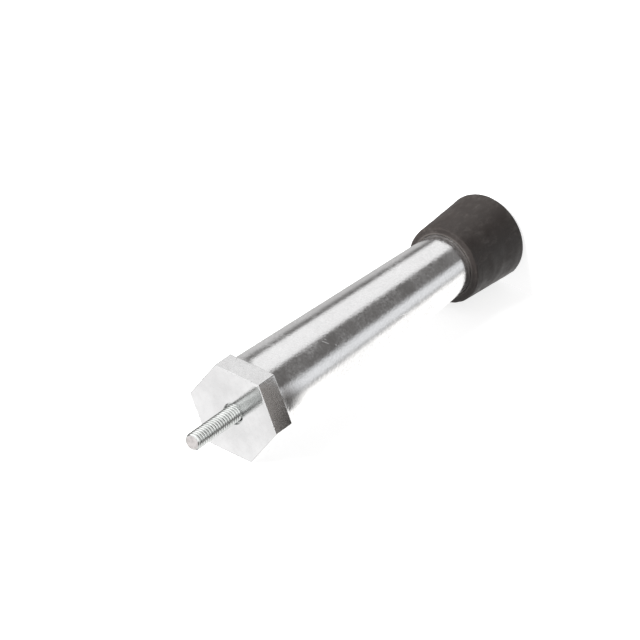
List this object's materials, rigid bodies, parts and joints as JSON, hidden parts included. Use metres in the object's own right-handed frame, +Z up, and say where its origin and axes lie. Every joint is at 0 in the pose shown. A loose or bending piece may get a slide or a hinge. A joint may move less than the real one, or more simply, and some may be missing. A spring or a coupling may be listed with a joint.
{
  "type": "furniture leveling foot",
  "caption": "Tapered metal furniture leg with a hexagonal wrench flange, a threaded stud at the top and a rubber boot on its narrow end.",
  "frame": {"origin": "centre of the rubber boot's floor pad, on the floor", "axes": "+Z up along the leg towards the stud, +Y out of one flat of the hexagon, +X through one of its corners"},
  "size_m": [0.0366, 0.0328, 0.1795],
  "materials": {
    "turned_aluminium": "turned and lightly polished, drawn bar skin on the hexagon's flats",
    "zinc_plated_steel": "zinc plated rolled thread",
    "black_rubber": "matt moulded rubber, lightly dusty",
    "washer_steel": "plain pressed steel"
  },
  "bodies": {
    "boot": {"rubber_boot": "black_rubber", "boot_washer": "washer_steel"},
    "leg": {"leg_body": "turned_aluminium"},
    "stud": {"threaded_stud": "zinc_plated_steel"}
  },
  "joints": [
    {"name": "leg_turn", "type": "hinge", "parent": "boot", "child": "leg", "pos_m": [0, 0, 0], "axis": [0, 0, -1], "range_deg": [0, 3240]},
    {"name": "stud_rise", "type": "slide", "parent": "boot", "child": "stud", "axis": [0, 0, 1], "range_m": [0, 0.01143]}
  ],
  "couplings": [
    {"joint": "stud_rise", "follows": "leg_turn", "m_per_rad": 0.00020213}
  ]
}
